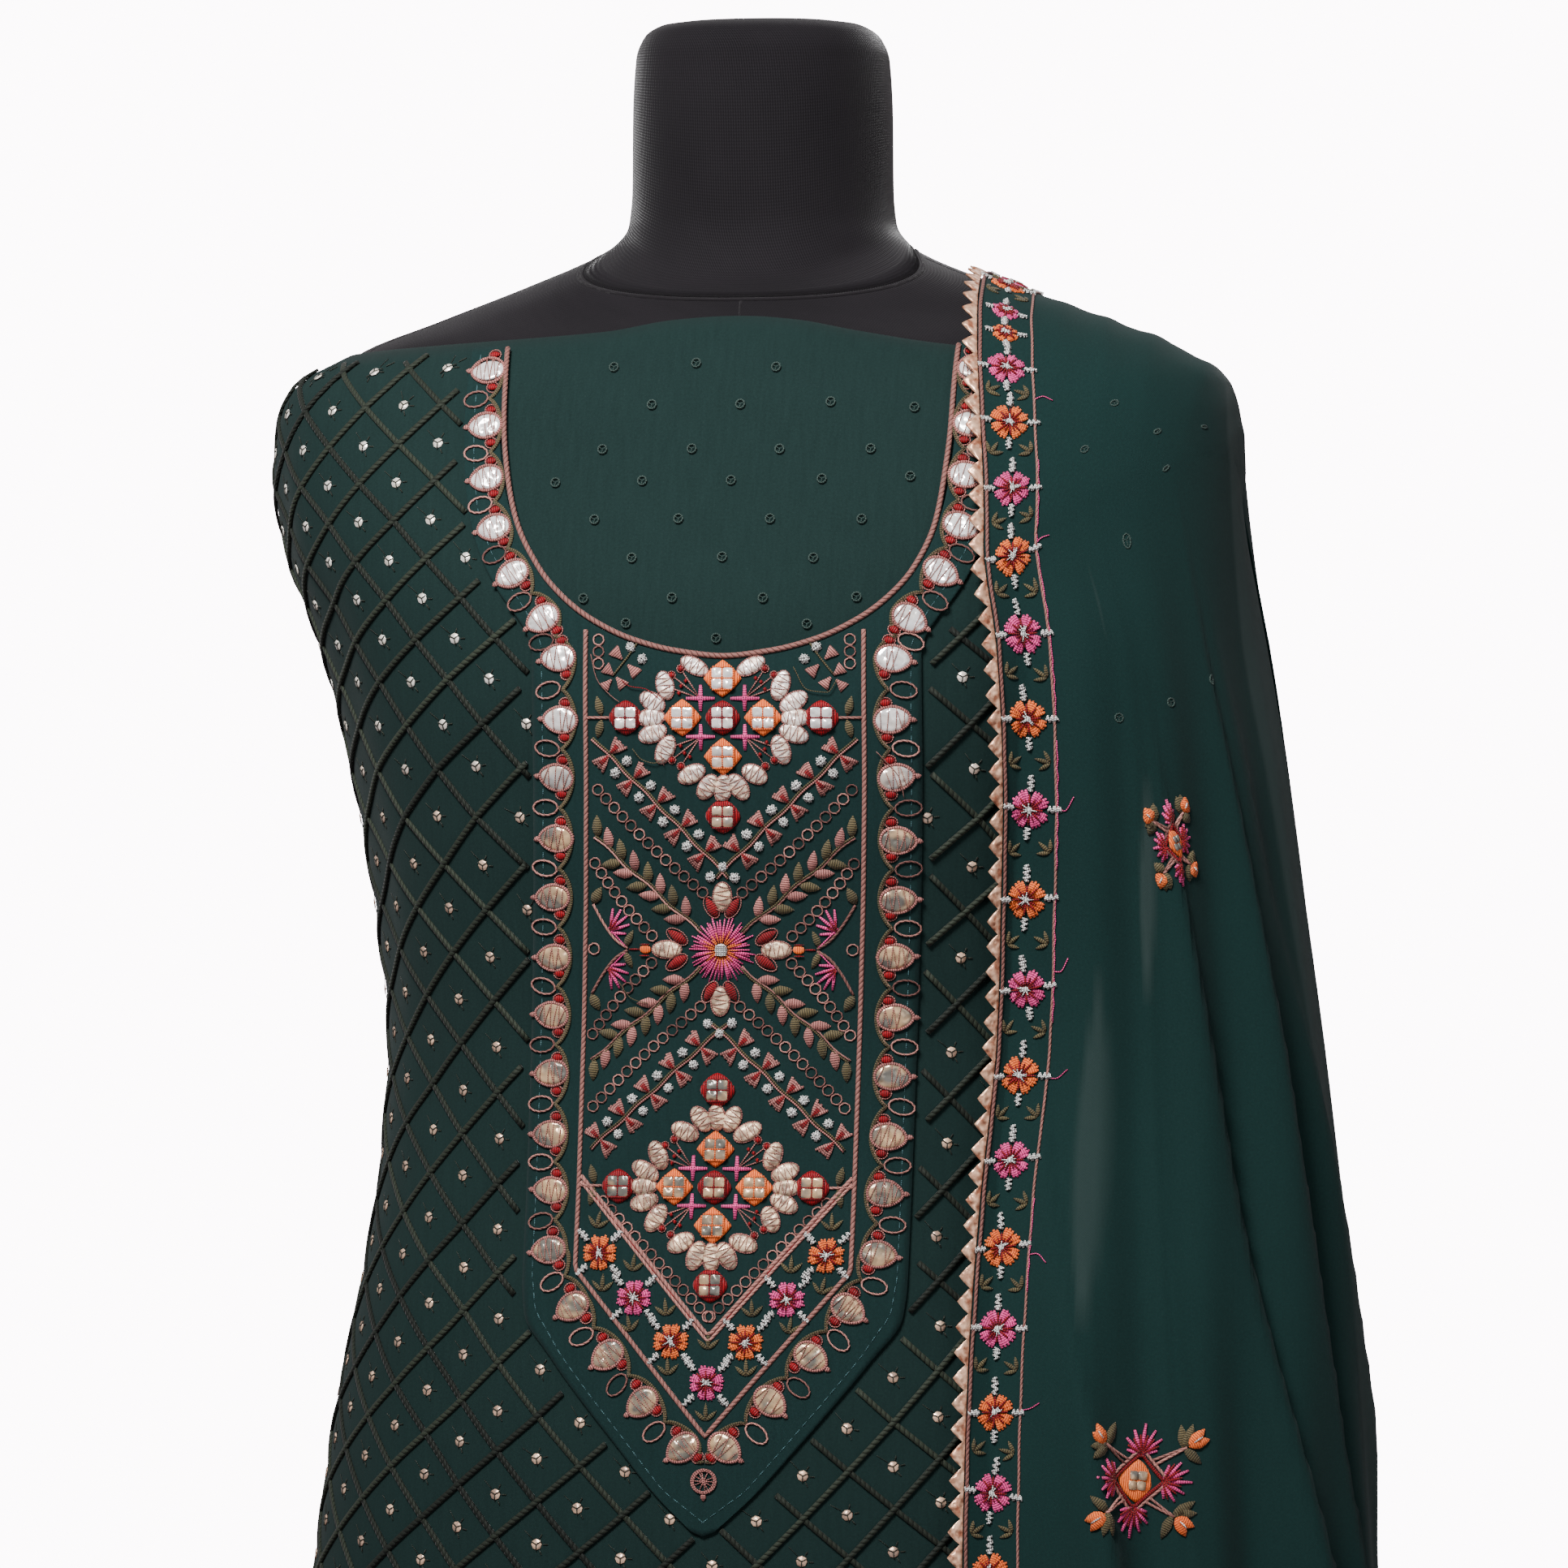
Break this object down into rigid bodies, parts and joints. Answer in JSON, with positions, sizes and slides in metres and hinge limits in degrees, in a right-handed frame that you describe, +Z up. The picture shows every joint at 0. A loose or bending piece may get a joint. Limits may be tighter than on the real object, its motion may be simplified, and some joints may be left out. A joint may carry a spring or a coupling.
{
  "type": "salwar kameez suit on dress form",
  "caption": "Embroidered salwar kameez with a panelled neckline, a dupatta over one shoulder and gathered trousers, on a limbless dress form with a pole and round base.",
  "frame": {"origin": "centre of the round base's underside, on the floor", "axes": "+Z up along the pole, the garment's front faces -Y, +X is the viewer's right, the side that carries the dupatta"},
  "size_m": [0.535, 0.3515, 1.56],
  "materials": {
    "jersey": "charcoal knitted jersey stretched over the form",
    "stand_metal": "satin steel",
    "georgette": "bottle green georgette with a corded lattice and sequins",
    "patch_georgette": "bottle green georgette under dense thread and mirror work",
    "chiffon": "sheer green chiffon with an embroidered border",
    "crepe": "plain green crepe",
    "gota": "toothed ribbon edging with a pale rose-gold sheen",
    "lattice_cord": "twisted dark olive cord couched in diamonds",
    "cord_rose": "twisted dusty pink thread cord",
    "thread_olive": "matt olive thread",
    "thread_red": "red thread and beads",
    "thread_orange": "glossy orange thread",
    "thread_pink": "glossy hot pink thread",
    "thread_silver": "silver-white thread knots",
    "mirror_foil": "small foil mirrors under thread",
    "sequin": "flat pale gold sequins tied down by three stitches"
  },
  "bodies": {
    "root": {"form_torso": "jersey", "form_neck_block": "jersey", "stand_collar": "stand_metal", "stand_pole": "stand_metal", "stand_base": "stand_metal", "kameez_front": "georgette", "kameez_back": "georgette", "neck_patch": "patch_georgette", "dupatta_front_fall": "chiffon", "dupatta_back_fall": "chiffon", "dupatta_edging_front": "gota", "dupatta_edging_back": "gota", "salwar_belt": "crepe", "salwar_seat": "crepe", "salwar_left_leg": "crepe", "salwar_right_leg": "crepe", "salwar_left_cuff": "crepe", "salwar_right_cuff": "crepe"}
  },
  "joints": []
}
